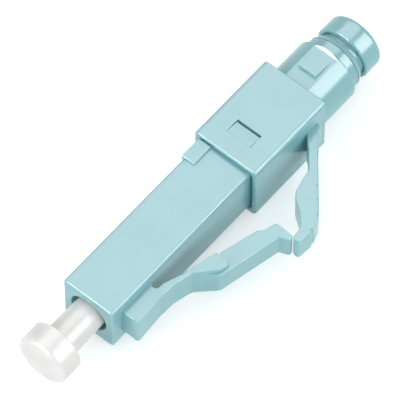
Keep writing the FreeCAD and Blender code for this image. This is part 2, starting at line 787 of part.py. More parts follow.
def splice_base():
    """Lower half of the splice, with a ring at each end for the flange and the fibre guide."""
    front_ring = rod(at(shank_rear), at(splice_front), splice_ring_dia)
    rear_ring = rod(at(guide_ring_rear), at(splice_rear), splice_ring_dia)
    half = rod(at(splice_rear), at(shank_rear), splice_dia)
    top = box(at(splice_rear), at(shank_rear), -splice_dia, splice_dia,
              -fibre_dia / 2 - plate_gap / 2, splice_dia)
    body = front_ring.fuse(half.cut(top)).fuse(rear_ring)
    body = body.cut(rod(at(shank_rear), at(splice_front), shank_dia + 2 * glue_gap))
    body = body.cut(rod(at(guide_ring_rear), at(splice_rear), guide_dia + 2 * glue_gap))
    groove = fibre_groove(at(splice_rear), at(shank_rear))
    return cleaned(body.cut(groove))


def cover_plate(front, rear):
    """Upper half of the splice that presses the fibres into the groove."""
    plate = rod(at(rear), at(front), splice_dia)
    below = box(at(rear) - PAST, at(front) + PAST, -splice_dia, splice_dia,
                -splice_dia, fibre_dia / 2 + plate_gap / 2)
    groove = box(at(rear) - PAST, at(front) + PAST, -fibre_dia, fibre_dia, 0, fibre_dia)
    return plate.cut(below).cut(groove)


def splice_clip(middle):
    """Springy C-shaped clip that squeezes base and cover together."""
    low, high = at(middle + clip_length / 2), at(middle - clip_length / 2)
    inner = splice_dia + 2 * plate_gap
    ring = rod(low, high, inner + 2 * clip_thickness).cut(rod(low, high, inner))
    opening = box(low, high, -clip_opening / 2, clip_opening / 2, -splice_dia, 0)
    return ring.cut(opening)


def fibre_guide():
    """Tube with a funnel that leads the field fibre into the groove."""
    front = splice_rear + seat_gap
    rear = front + guide_length
    outer, hole, mouth = guide_dia / 2, guide_bore_dia / 2, guide_funnel_dia / 2
    return turned([
        (at(front), hole, 0), (at(front), outer, guide_edge_radius), (at(rear), outer, guide_edge_radius),
        (at(rear), mouth, 0), (at(rear - guide_funnel_length), hole, 0),
    ])


def ferrule_spring():
    """Coil that holds the ferrule forward, between the splice and the tail body's spigot."""
    wire = spring_wire_dia / 2
    mean = spring_dia / 2 - wire
    front, rear = at(guide_ring_rear), at(spigot_front)
    height = front - rear - 2 * wire - 2 * seat_gap
    helix = Part.makeHelix(height / spring_turns, height, mean)
    section = Part.Wire(Part.makeCircle(wire, V(mean, 0, 0), Y_AXIS))
    coil = Part.Wire(helix.Edges).makePipeShell([section], True, True)
    coil.rotate(V(0, 0, 0), Y_AXIS, 90)
    coil.translate(V(rear + wire + seat_gap, 0, 0))
    return coil


def build():
    """Every piece by its node name."""
    cover_middle = (shank_rear + splice_rear) / 2
    front_cover = (shank_rear + seat_gap, cover_middle - cover_gap / 2)
    rear_cover = (cover_middle + cover_gap / 2, splice_rear - seat_gap)
    return {
        "front_housing": front_housing(),
        "latch_arm": latch_arm(),
        "rear_housing": rear_housing(),
        "trigger": trigger(),
        "tail_body": tail_body(),
        "clamp_nut": clamp_nut(),
        "dust_cap": dust_cap(),
        "ferrule": ferrule(),
        "fibre_stub": fibre_stub(),
        "ferrule_flange": ferrule_flange(),
        "splice_base": splice_base(),
        "cover_plate_front": cover_plate(*front_cover),
        "cover_plate_rear": cover_plate(*rear_cover),
        "splice_clip_front": splice_clip(sum(front_cover) / 2),
        "splice_clip_rear": splice_clip(sum(rear_cover) / 2),
        "fibre_guide": fibre_guide(),
        "ferrule_spring": ferrule_spring(),
    }


os.makedirs("parts", exist_ok=True)
for node, shape in build().items():
    shape.exportStep(f"parts/{node}.step")
    print(f"{node}: {len(shape.Solids)} solid, {shape.Volume:.3f} mm3, valid {shape.isValid()}")
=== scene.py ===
import logging
import math
from dataclasses import dataclass
from enum import Enum
from functools import cached_property
from typing import NamedTuple, Sequence

import bmesh
import bpy
import numpy as np
from mathutils import Matrix, Vector
from numpy.typing import NDArray


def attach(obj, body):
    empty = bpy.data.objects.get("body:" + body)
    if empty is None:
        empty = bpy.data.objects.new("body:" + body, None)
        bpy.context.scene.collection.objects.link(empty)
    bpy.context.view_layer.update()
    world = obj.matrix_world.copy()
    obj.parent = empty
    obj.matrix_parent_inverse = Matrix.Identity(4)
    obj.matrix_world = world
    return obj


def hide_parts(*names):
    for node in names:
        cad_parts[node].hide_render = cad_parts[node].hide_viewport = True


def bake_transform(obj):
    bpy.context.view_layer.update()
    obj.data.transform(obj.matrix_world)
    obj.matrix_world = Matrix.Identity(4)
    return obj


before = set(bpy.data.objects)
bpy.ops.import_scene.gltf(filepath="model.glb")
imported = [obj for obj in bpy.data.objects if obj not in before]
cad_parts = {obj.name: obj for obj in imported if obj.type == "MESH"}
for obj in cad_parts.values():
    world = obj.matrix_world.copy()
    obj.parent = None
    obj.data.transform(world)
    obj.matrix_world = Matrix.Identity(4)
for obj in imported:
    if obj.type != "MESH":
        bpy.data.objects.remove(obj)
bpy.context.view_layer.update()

Array = NDArray[np.float64]
Colour = tuple[float, float, float]
MM = 0.001  # metres
TINY = 1e-6  # mm: a length below this is nothing
STRAIGHT = 1e-3  # radians: a corner as flat as this is left alone
ROOM = 0.49  # share of a side that one rounding may take up
GUARD = 0.02  # mm from a rounding's end to the point that keeps the flat side flat
WELD = 1e-8  # metres: points as close as this become one
PLUG_FRONT = -1.8  # X in mm; the ferrule's tip is at 0
WHITE = (1.0, 1.0, 1.0, 1.0)
LOG = logging.getLogger("fibre_connector")


class Body(Enum):
    """The moving groups; the trim, the thread and the thumb lever are attached to the housing's or the
    latch's.
    """

    HOUSING = "housing"
    LATCH = "latch"
    TRIGGER = "trigger"
    FLOAT = "float"


class Slot(Enum):
    """Two finish names, aqua plastic and spring steel; nothing in the script gives them to a piece."""

    AQUA = "aqua_plastic"
    STEEL = "spring_steel"


# ---- shader maths ----------------------------------------------------------
class Shade:
    """A number that changes over a surface. Arithmetic on it adds Math nodes."""

    def __init__(self, bench: "Bench", socket: bpy.types.NodeSocket) -> None:
        """Wraps an output socket of one material's node tree."""
        self.bench = bench
        self.socket = socket

    def _joined(self, operation: str, other: object = None) -> "Shade":
        """Adds one Math node.

        Args:
            operation: the Math node's operation.
            other: the second Shade or number, or nothing.

        Returns:
            The Math node's result.
        """
        inputs = {0: self} if other is None else {0: self, 1: other}
        node = self.bench.node("ShaderNodeMath", {"operation": operation}, inputs)
        return Shade(self.bench, node.outputs[0])

    def __add__(self, other: object) -> "Shade":
        """Sum."""
        return self._joined("ADD", other)

    def __sub__(self, other: object) -> "Shade":
        """Difference."""
        return self._joined("SUBTRACT", other)

    def __mul__(self, other: object) -> "Shade":
        """Product."""
        return self._joined("MULTIPLY", other)

    def __truediv__(self, other: object) -> "Shade":
        """Quotient."""
        return self._joined("DIVIDE", other)

    def __pow__(self, other: object) -> "Shade":
        """Power."""
        return self._joined("POWER", other)

    def __abs__(self) -> "Shade":
        """Size without sign."""
        return self._joined("ABSOLUTE")

    def higher(self, other: object) -> "Shade":
        """The larger of two."""
        return self._joined("MAXIMUM", other)

    def eased(self, low: float, high: float) -> "Shade":
        """0 below low, 1 above high and a smooth step between; low may be the larger."""
        node = self.bench.node(
            "ShaderNodeMapRange",
            {"interpolation_type": "SMOOTHSTEP"},
            {"Value": self, "From Min": low, "From Max": high},
        )
        return Shade(self.bench, node.outputs[0])


class Bench:
    """The node tree of a material or of the world, with the few ways of adding to it."""

    def __init__(self, owner: bpy.types.Material | bpy.types.World) -> None:
        """Empties the owner's node tree."""
        owner.use_nodes = True
        self.owner = owner
        self.tree = owner.node_tree
        self.tree.nodes.clear()

    @cached_property
    def place(self) -> bpy.types.NodeSocket:
        """The Object coordinates, in metres."""
        return self.node("ShaderNodeTexCoord", {}, {}).outputs["Object"]

    @cached_property
    def axes(self) -> tuple[Shade, ...]:
        """The Object coordinates as three numbers."""
        split = self.node("ShaderNodeSeparateXYZ", {}, {0: self.place})
        return tuple(Shade(self, split.outputs[i]) for i in range(3))

    def node(self, kind: str, settings: dict, inputs: dict) -> bpy.types.Node:
        """Adds any node.

        Args:
            kind: the node's type.
            settings: its properties, such as an operation, set first.
            inputs: a value, a socket or a Shade for each named or numbered input.

        Returns:
            The new node.
        """
        node = self.tree.nodes.new(kind)
        for key, value in settings.items():
            setattr(node, key, value)
        for key, value in inputs.items():
            socket = node.inputs[key]
            if isinstance(value, Shade):
                value = value.socket
            if isinstance(value, bpy.types.NodeSocket):
                self.tree.links.new(value, socket)
            else:
                socket.default_value = value
        return node

    def noise(self, size_mm: float, detail: float = 2.0, stretch: Sequence[float] = (1, 1, 1)) -> Shade:
        """Cloudy noise from 0 to 1 whose lumps are about size_mm across, drawn out by stretch."""
        moved = self.node(
            "ShaderNodeMapping", {}, {"Vector": self.place, "Scale": [1 / s for s in stretch]}
        )
        node = self.node(
            "ShaderNodeTexNoise", {},
            {"Vector": moved.outputs[0], "Scale": 1 / (size_mm * MM), "Detail": detail},
        )
        return Shade(self, node.outputs[0])

    def mixed(self, share: Shade, first: object, second: object) -> bpy.types.NodeSocket:
        """A colour between two, by share."""
        node = self.node(
            "ShaderNodeMix", {"data_type": "RGBA", "clamp_factor": True},
            {0: share, 6: as_rgba(first), 7: as_rgba(second)},
        )
        return node.outputs[2]

    def bump(self, height: Shade, rise_mm: float, below: object = None) -> bpy.types.NodeSocket:
        """A normal tilted by a height from 0 to 1 that stands for rise_mm."""
        inputs = {"Height": height, "Distance": rise_mm * MM, "Strength": 1.0}
        if below is not None:
            inputs["Normal"] = below
        return self.node("ShaderNodeBump", {}, inputs).outputs[0]

    def finish(self, shader: dict) -> bpy.types.Material:
        """Closes the tree with a Principled shader that has these inputs."""
        node = self.node("ShaderNodeBsdfPrincipled", {}, shader)
        self.node("ShaderNodeOutputMaterial", {}, {0: node.outputs[0]})
        return self.owner


def as_rgba(colour: object) -> object:
    """A three-number colour with full alpha, and anything else unchanged."""
    return (*colour, 1.0) if isinstance(colour, tuple) and len(colour) == 3 else colour


def srgb(red: int, green: int, blue: int) -> Colour:
    """A display colour, each part from 0 to 255, as scene-linear numbers by the sRGB curve."""
    parts = [c / 255 for c in (red, green, blue)]
    return tuple(p / 12.92 if p <= 0.04045 else ((p + 0.055) / 1.055) ** 2.4 for p in parts)


# ---- finishes ---------------------------------------------------------------
@dataclass(frozen=True)
class Mark:
    """A round mark that a tool leaves on a moulding: a pin's disc or a gate's scar."""

    x: float
    y: float
    z: float
    radius: float
    ring: float = 0.05
    rim_share: float = 0.4
    disc_share: float = 0.5

    def height(self, bench: Bench) -> Shade:
        """A disc sunk a little, with a fine raised rim; 0 is the surface."""
        x, y, z = (axis / MM - middle for axis, middle in zip(bench.axes, (self.x, self.y, self.z)))
        away = (x ** 2.0 + y ** 2.0 + z ** 2.0) ** 0.5
        disc = away.eased(self.radius, self.radius - self.ring)
        rim = (abs(away - self.radius)).eased(self.ring, 0.0)
        return rim * self.rim_share - disc * self.disc_share


@dataclass(frozen=True)
class Layer:
    """Cloudy noise in a finish: its lumps, and its share of the tint, roughness and relief."""

    size_mm: float
    detail: float
    stretch: tuple[float, float, float] = (1, 1, 1)
    tint: float = 0.0
    rough: float = 0.0
    relief: float = 0.0


@dataclass(frozen=True)
class Scatter:
    """Light that travels inside a finish: its share, each colour's reach, and the scale in mm."""

    weight: float
    reach: Colour
    scale_mm: float


@dataclass(frozen=True)
class Finish:
    """A finish that goes from body to deep with its layers' tint, between the two fade levels."""

    body: Colour
    deep: Colour
    layers: tuple[Layer, ...]
    roughness: float
    relief_mm: float = 0.0
    fade: tuple[float, float] | None = None
    ior: float = 1.5
    scatter: Scatter | None = None
    clear: bool = False
    metal: bool = False
    tarnish: float = 0.05
    mark_mm: float = 0.02
    seam_half_mm: float = 0.035
    seam_mm: float = 0.012
    seam_rough: float = 0.1

    def made(self, name: str, parted: bool = False, marks: Sequence[Mark] = ()) -> bpy.types.Material:
        """Makes the material.

        Args:
            name: the material's name.
            parted: whether the mould parted across Z, which leaves a witness line.
            marks: the round marks on this moulding.

        Returns:
            The material.
        """
        bench = Bench(bpy.data.materials.new(name))
        noises = [bench.noise(layer.size_mm, layer.detail, layer.stretch) for layer in self.layers]
        tint = self.weighed(noises, [layer.tint for layer in self.layers])
        shares = [layer.rough for layer in self.layers]
        rough = self.weighed(noises, shares) + (self.roughness - sum(shares) / 2)
        if self.metal:
            clean = 1.0 - self.tarnish
            shader = {"Metallic": tint.eased(1.0, clean) * self.tarnish + clean}
        else:
            shader = {"IOR": self.ior, "Transmission Weight": float(self.clear)}
        if self.fade:
            tint = tint.eased(*self.fade)
        if self.scatter:
            shader["Subsurface Weight"] = self.scatter.weight
            shader["Subsurface Radius"] = self.scatter.reach
            shader["Subsurface Scale"] = self.scatter.scale_mm * MM
        if self.relief_mm:
            relief = self.weighed(noises, [layer.relief for layer in self.layers])
            normal = bench.bump(relief, self.relief_mm)
            for mark in marks:
                normal = bench.bump(mark.height(bench), self.mark_mm, normal)
            if parted:
                line = abs(bench.axes[2] / MM).eased(self.seam_half_mm, 0.0)
                normal = bench.bump(line, self.seam_mm, normal)
                rough = rough + line * self.seam_rough
            shader["Normal"] = normal
        colour = bench.mixed(tint, self.body, self.deep)
        return bench.finish({"Base Color": colour, "Roughness": rough, **shader})

    @staticmethod
    def weighed(noises: Sequence[Shade], shares: Sequence[float]) -> Shade:
        """The sum of the noises, each by its share, without those that have none."""
        first, *others = [n if share == 1 else n * share for n, share in zip(noises, shares) if share]
        for other in others:
            first = first + other
        return first


# Injection-moulded polyester: satin, slightly translucent, faintly clouded along the flow.
AQUA_PLASTIC = Finish(
    srgb(140, 190, 196), srgb(135, 186, 192),
    (Layer(3.2, 3.0, tint=0.7), Layer(1.1, 4.0, (4, 1, 1), 0.5, 0.03, 0.12),
     Layer(0.07, 3.0, rough=0.05, relief=0.12)),
    roughness=0.2, relief_mm=0.0035, fade=(0.35, 0.85), scatter=Scatter(0.35, (0.5, 0.9, 0.9), 0.4),
)
# Soft white polyethylene, cloudy and translucent.
CAP_PLASTIC = Finish(
    srgb(229, 227, 225), srgb(222, 221, 219),
    (Layer(1.3, 4.0, tint=1, rough=0.1, relief=0.7), Layer(0.09, 3.0, rough=0.12, relief=0.3)),
    roughness=0.34, relief_mm=0.012, fade=(0.3, 0.7), ior=1.51, mark_mm=0.03,
    scatter=Scatter(0.5, (1.0, 1.0, 1.0), 0.8),
)
# Ground and polished zirconia, lapped round the axis.
CERAMIC = Finish(
    srgb(243, 241, 234), srgb(234, 231, 222),
    (Layer(0.8, 3.0, tint=1), Layer(0.02, 2.0, (1, 30, 30), rough=0.08, relief=1)),
    roughness=0.14, relief_mm=0.0006, ior=2.1, scatter=Scatter(0.2, (1.0, 0.9, 0.8), 0.3),
)
# Drawn silica: clear, with a trace of haze along its length.
GLASS = Finish(
    srgb(244, 248, 248), srgb(236, 243, 243), (Layer(0.05, 2.0, (20, 1, 1), tint=1, rough=0.05),),
    roughness=0.045, ior=1.46, clear=True,
)


def turned_metal(body: Colour, deep: Colour, roughness: float) -> Finish:
    """Machined or drawn metal with fine rings round the axis."""
    layers = (Layer(0.03, 2.0, (1, 40, 40), rough=0.14, relief=1), Layer(0.9, 4.0, tint=1, rough=0.08))
    return Finish(body, deep, layers, roughness, 0.0015, metal=True)


def core_plastic(body: Colour, deep: Colour) -> Finish:
    """The natural plastic of the pieces inside."""
    layers = (Layer(1.6, 3.0, tint=1), Layer(0.06, 3.0, rough=0.12, relief=1))
    return Finish(body, deep, layers, 0.32, 0.002, ior=1.55, scatter=Scatter(0.2, (1.0, 0.7, 0.4), 0.4))


SPRING_STEEL = turned_metal(srgb(190, 192, 196), srgb(172, 174, 180), 0.3)
PLATED_BRASS = turned_metal(srgb(205, 202, 190), srgb(190, 186, 172), 0.28)


# ---- outlines and surfaces --------------------------------------------------
class Corner(NamedTuple):
    """A corner of a plan outline: its place along and across, and its rounding, in mm."""

    x: float
    y: float
    radius: float = 0.0


def at(behind: float) -> float:
    """X of a place given behind the plug's front face, in mm."""
    return PLUG_FRONT - behind


def smooth(share: Array) -> Array:
    """The smooth step 3 s^2 - 2 s^3, with s held between 0 and 1."""
    s = np.clip(share, 0, 1)
    return s * s * (3 - 2 * s)


class PlanLine:
    """An open outline of straight runs with rounded corners, followed by corner number."""

    def __init__(self, corners: Sequence[Corner]) -> None:
        """Rounds every corner with an arc of its radius, and numbers the line by corner."""
        points, marks = [], []
        places = [np.array(corner[:2]) for corner in corners]
        for i, corner in enumerate(corners):
            arc = places[i][None]
            if 0 < i < len(corners) - 1 and corner.radius > 0:
                arc = self._arc(*places[i - 1:i + 2], corner.radius)
            marks.append(len(points) + len(arc) // 2)
            points.extend(arc)
        self.points = np.array(points)
        run = np.concatenate([[0], np.cumsum(np.linalg.norm(np.diff(self.points, axis=0), axis=1))])
        self.number = np.interp(run, run[marks], np.arange(len(corners)))

    @staticmethod
    def _arc(before: Array, here: Array, after: Array, radius: float, count: int = 9) -> Array:
        """The arc that touches both runs: centre on the bisector, at radius / sin(half angle).

        The radius shrinks where a run is too short for it.
        """
        back = (before - here) / np.linalg.norm(before - here)
        ahead = (after - here) / np.linalg.norm(after - here)
        half = math.acos(float(np.clip(back @ ahead, -1, 1))) / 2
        if math.pi / 2 - half < STRAIGHT:
            return here[None]
        room = ROOM * min(np.linalg.norm(before - here), np.linalg.norm(after - here))
        radius = min(radius, room * math.tan(half))
        bisector = (back + ahead) / np.linalg.norm(back + ahead)
        centre = here + bisector * radius / math.sin(half)
        start = here + back * radius / math.tan(half) - centre
        turn = np.linspace(0, math.pi - 2 * half, count)
        side = here + ahead * radius / math.tan(half) - centre
        normal = side - start * (start @ side) / (start @ start)
        normal = normal / np.linalg.norm(normal) * np.linalg.norm(start)
        return centre + np.cos(turn)[:, None] * start + np.sin(turn)[:, None] * normal

    def at(self, number: Array) -> Array:
        """Points at these corner numbers; a fraction lies between two corners."""
        return np.stack([np.interp(number, self.number, self.points[:, k]) for k in (0, 1)], axis=1)


def strap(outer: Array, inner: Array, half_width: Array, edge: float, turns: int = 6) -> Array:
    """A flat arm as a grid of points.

    At each station the section is a rectangle from the inner to the outer line and from
    -half_width to +half_width in Z, with its four corners rounded by edge. Where the arm
    is thinner than two edges, the rounding shrinks and the width follows a quarter circle.
    A point GUARD beyond each end of a rounding keeps the flat sides' shading flat.

    Args:
        outer: stations by 2, the outer line in mm.
        inner: the same for the inner line.
        half_width: half the width in Z at each station.
        edge: radius of the long edges.
        turns: points round each corner.

    Returns:
        Stations by section points by 3, in mm.
    """
    span = outer - inner
    depth = np.linalg.norm(span, axis=1)
    across = span / np.maximum(depth, TINY)[:, None]
    last = np.flatnonzero(depth > TINY)[-1]
    across[last + 1:] = across[last]
    bend = np.minimum(edge, ROOM * depth)
    lost = edge - np.minimum(edge, depth / 2)
    half = half_width - (edge - np.sqrt(np.maximum(edge**2 - lost**2, 0)))
    quarters = [np.linspace(k, k + 1, turns) * math.pi / 2 for k in range(4)]
    angles = np.concatenate([np.concatenate([q[:1], q, q[-1:]]) for q in quarters])
    beyond = np.tile(np.concatenate([[-1], np.zeros(turns), [1]]), 4)
    sign_a = np.repeat([1, -1, -1, 1], turns + 2)
    sign_z = np.repeat([1, 1, -1, -1], turns + 2)
    flat_a, flat_z = (depth / 2 - bend)[:, None], (half - bend)[:, None]
    guard_a, guard_z = np.minimum(GUARD, flat_a / 2) * beyond, np.minimum(GUARD, flat_z / 2) * beyond
    a = sign_a * flat_a + bend[:, None] * np.cos(angles) - guard_a * np.sin(angles)
    z = sign_z * flat_z + bend[:, None] * np.sin(angles) + guard_z * np.cos(angles)
    middle = (outer + inner) / 2
    flat = middle[:, None, :] + across[:, None, :] * a[:, :, None]
    return np.concatenate([flat, z[:, :, None]], axis=2)


def tube_faces(stations: int, ring: int) -> list[tuple[int, ...]]:
    """Quads of a grid closed round its rings, with one many-sided face at each end."""
    s, r = np.meshgrid(np.arange(stations - 1), np.arange(ring), indexing="ij")
    nxt = (r + 1) % ring
    quads = np.stack([s * ring + r, s * ring + nxt, (s + 1) * ring + nxt, (s + 1) * ring + r], axis=-1)
    last = (stations - 1) * ring
    ends = [tuple(range(ring)), tuple(range(last + ring - 1, last - 1, -1))]
    return [tuple(q) for q in quads.reshape(-1, 4).tolist()] + ends


def piece(name: str, parts: Sequence[Array], sharp_deg: float = 40.0) -> bpy.types.Object:
    """Makes one object of closed tubes, each a grid of stations by ring by 3 in mm."""
    points, faces, base = [], [], 0
    for grid in parts:
        stations, ring = grid.shape[:2]
        points.append(grid.reshape(-1, 3))
        faces += [tuple(i + base for i in face) for face in tube_faces(stations, ring)]
        base += stations * ring
    mesh = bpy.data.meshes.new(name)
    mesh.from_pydata((np.concatenate(points) * MM).tolist(), [], faces)
    shell = bmesh.new()
    shell.from_mesh(mesh)
    bmesh.ops.remove_doubles(shell, verts=shell.verts, dist=WELD)
    bmesh.ops.recalc_face_normals(shell, faces=shell.faces)
    shell.to_mesh(mesh)
    shell.free()
    mesh.polygons.foreach_set("use_smooth", [True] * len(mesh.polygons))
    mesh.set_sharp_from_angle(angle=math.radians(sharp_deg))
    made = bpy.data.objects.new(name, mesh)
    bpy.context.scene.collection.objects.link(made)
    LOG.info("%s: %d faces", name, len(mesh.polygons))
    return made


def dress(target: bpy.types.Object, material: bpy.types.Material) -> None:
    """Gives an object its one finish."""
    target.data.materials.clear()
    target.data.materials.append(material)


# ---- the latch --------------------------------------------------------------
@dataclass
class Latch:
    """The latch: a springy arm that leaves the plug's side, two lugs, and a thumb lever.

    Places along the connector are given behind the plug's front face, in mm.
    """

    pivot_behind: float = 4.45
    pivot_y: float = 3.25
    root_behind: float = 3.45
    root_run: float = 0.4
    root_radius: float = 1.2
    arm_thickness: float = 0.58
    arm_angle: float = 17.0
    arm_dip: float = 0.15
    arm_radius: float = 2.5
    arm_half_width: float = 1.35
    rise_run: float = 0.55
    rise_proud: float = 0.06
    rise_radius: float = 1.5
    under_run: float = 0.15
    under_radius: float = 0.7
    knee: float = 6.62
    knee_lead: float = 0.4
    knee_ease: float = 0.03
    knee_lift: float = 0.02
    knee_radius: float = 0.5
    knee_rise: float = 1.3
    knee_run: float = 1.05
    inner_angle: float = 15.0
    outer_angle: float = 12.8
    lever_half_width: float = 1.08
    lever_root: float = 0.3
    lever_root_sunk: float = 0.1
    lever_knee_radius: float = 0.3
    waist_along: float = 0.6
    waist_up: float = 0.34
    waist_radius: float = 0.8
    crest_run: float = 0.15
    crest_radius: float = 0.35
    thin_length: float = 1.45
    thin_depth: float = 0.28
    thin_run: float = 0.5
    thin_radius: float = 0.3
    lip_height: float = 0.8
    lip_run: float = 0.8
    lip_top: float = 0.3
    lip_radius: float = 0.2
    end: float = 13.74
    end_slant: float = 0.1
    end_up: float = 0.85
    end_radius: float = 0.14
    end_heel_radius: float = 0.22
    lug_shoulder: float = 8.95
    lug_height: float = 1.34
    lug_crest: float = 1.0
    lug_crest_radius: float = 0.7
    lug_corner_radius: float = 0.3
    lug_heel_radius: float = 0.08
    lug_flare: float = 0.55
    lug_half_width: float = 1.45
    edge: float = 0.1
    skin: float = 0.01
    proud: float = 0.045
    sunk: float = 0.03
    sunk_run: float = 0.55
    bend_ahead: float = 0.4
    bend_behind: float = 1.0
    arm_stations: int = 160
    lug_corners: float = 5.5
    lug_stations: int = 50
    lever_stations: int = 241

    def arm_line(self, behind: float, outer: bool) -> float:
        """Height of the arm's outer or inner face: its middle line rises at the arm's angle."""
        off = self.arm_thickness / 2 / math.cos(math.radians(self.arm_angle))
        middle = self.pivot_y + (behind - self.pivot_behind) * math.tan(math.radians(self.arm_angle))
        return middle + off if outer else middle - off

    def inner(self, behind: float) -> float:
        """Height of the lever's inner face."""
        slope = math.tan(math.radians(self.inner_angle))
        return self.arm_line(self.knee, False) + (behind - self.knee) * slope

    def outer(self, behind: float) -> float:
        """Height of the lever's outer face."""
        slope = math.tan(math.radians(self.outer_angle))
        crest = self.arm_line(self.knee, True) + self.knee_rise
        return crest + (behind - self.knee - self.knee_run) * slope

    def spring_arm(self) -> bpy.types.Object:
        """The arm from inside its root to the lugs' locking face, widening towards the lugs.

        Its stations follow the corner numbers, and are closer from lug_corners on.
        """
        half = self.arm_thickness / 2
        root = self.pivot_behind - self.root_run
        lead = self.knee - self.knee_lead
        lug = self.lug_shoulder - self.lug_crest
        crest = self.inner(self.lug_shoulder) + self.lug_height
        drop = self.lug_crest * math.tan(math.radians(self.outer_angle))
        middle = (crest + self.inner(self.lug_shoulder)) / 2
        outer = PlanLine([
            Corner(at(self.root_behind), self.pivot_y + half - self.sunk),
            Corner(at(root), self.pivot_y + half + self.proud, self.root_radius),
            Corner(at(self.pivot_behind + self.rise_run), self.pivot_y + half + self.rise_proud,
                   self.rise_radius),
            Corner(at(lead), self.arm_line(lead, True) - self.arm_dip - self.knee_ease, self.arm_radius),
            Corner(at(self.knee), self.arm_line(self.knee, True) - self.arm_dip, self.knee_radius),
            Corner(at(lug), crest - drop, self.lug_crest_radius),
            Corner(at(self.lug_shoulder), crest, self.lug_corner_radius),
            Corner(at(self.lug_shoulder), middle),
        ])
        inner = PlanLine([
            Corner(at(self.root_behind), self.pivot_y - half + self.sunk),
            Corner(at(root), self.pivot_y - half - self.proud, self.root_radius),
            Corner(at(self.pivot_behind + self.under_run), self.pivot_y - half - self.proud / 2,
                   self.under_radius),
            Corner(at(lead), self.arm_line(lead, False) + self.knee_ease, self.arm_radius),
            Corner(at(self.knee), self.arm_line(self.knee, False) + self.knee_lift, self.knee_radius),
            Corner(at(lug), self.inner(lug)),
            Corner(at(self.lug_shoulder), self.inner(self.lug_shoulder), self.lug_heel_radius),
            Corner(at(self.lug_shoulder), middle),
        ])
        number = np.concatenate([
            np.linspace(0, self.lug_corners, self.arm_stations, endpoint=False),
            np.linspace(self.lug_corners, 7, self.lug_stations),
        ])
        line_out, line_in = outer.at(number), inner.at(number)
        flare = self.lug_flare * (self.lug_shoulder - self.knee)
        way = np.clip((at(self.knee) - line_out[:, 0]) / flare, 0, 1)
        buried = np.clip((line_out[:, 0] - at(root)) / self.sunk_run, 0, 1)
        narrow = self.arm_half_width + self.skin
        width = narrow + (self.lug_half_width - narrow) * way - (self.sunk + self.skin) * buried**2
        return piece("latch_spring_arm", [strap(line_out, line_in, width, self.edge)])

    def thumb_lever(self) -> bpy.types.Object:
        """The lever from the knee to its raised lip."""
        knee_out = self.arm_line(self.knee, True)
        waist = self.knee + self.waist_along * self.knee_run
        crest = self.knee + self.knee_run + self.crest_run
        lip = self.end - self.lip_run
        thin = self.end - self.thin_length
        lip_base = self.outer(lip)
        end_low = self.inner(self.end) + self.thin_depth
        end_high = lip_base + self.end_up * self.lip_height
        last = Corner(at(self.end - self.end_slant / 2), (end_low + end_high) / 2)
        back = self.knee - self.lever_root
        outer = PlanLine([
            Corner(at(back), self.arm_line(back, True) - self.arm_dip - self.lever_root_sunk),
            Corner(at(self.knee), knee_out - self.arm_dip, self.lever_knee_radius),
            Corner(at(waist), knee_out + self.waist_up * self.knee_rise, self.waist_radius),
            Corner(at(crest), self.outer(crest), self.crest_radius),
            Corner(at(thin), self.outer(thin)),
            Corner(at(lip), lip_base, self.lip_radius),
            Corner(at(lip + self.lip_top), lip_base + self.lip_height, self.lip_radius),
            Corner(at(self.end - self.end_slant), end_high, self.end_radius),
            last,
        ])
        inner = PlanLine([
            Corner(at(back), self.arm_line(back, False) + self.lever_root_sunk),
            Corner(at(self.knee), self.inner(self.knee) + self.knee_lift),
            Corner(at(waist), self.inner(waist) + self.knee_lift / 2),
            Corner(at(crest), self.inner(crest)),
            Corner(at(thin), self.inner(thin), self.thin_radius),
            Corner(at(thin + self.thin_run), self.inner(thin + self.thin_run) + self.thin_depth,
                   self.thin_radius),
            Corner(at(lip + self.lip_top), self.inner(lip + self.lip_top) + self.thin_depth),
            Corner(at(self.end), end_low, self.end_heel_radius),
            last,
        ])
        number = np.linspace(0, 8, self.lever_stations)
        width = np.full(len(number), self.lever_half_width)
        return piece("latch_thumb_lever", [strap(outer.at(number), inner.at(number), width, self.edge)])

    def build(self, finish: bpy.types.Material) -> None:
        """Makes both pieces in place of the solid latch arm; the lever turns with the latch."""
        arm, lever = self.spring_arm(), self.thumb_lever()
        for made in (arm, lever):
            dress(made, finish)
        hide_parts("latch_arm")
        x, y = at(self.pivot_behind) * MM, self.pivot_y * MM
        start, end = x + self.bend_ahead * MM, x - self.bend_behind * MM
        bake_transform(arm)
        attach(lever, Body.LATCH.value)


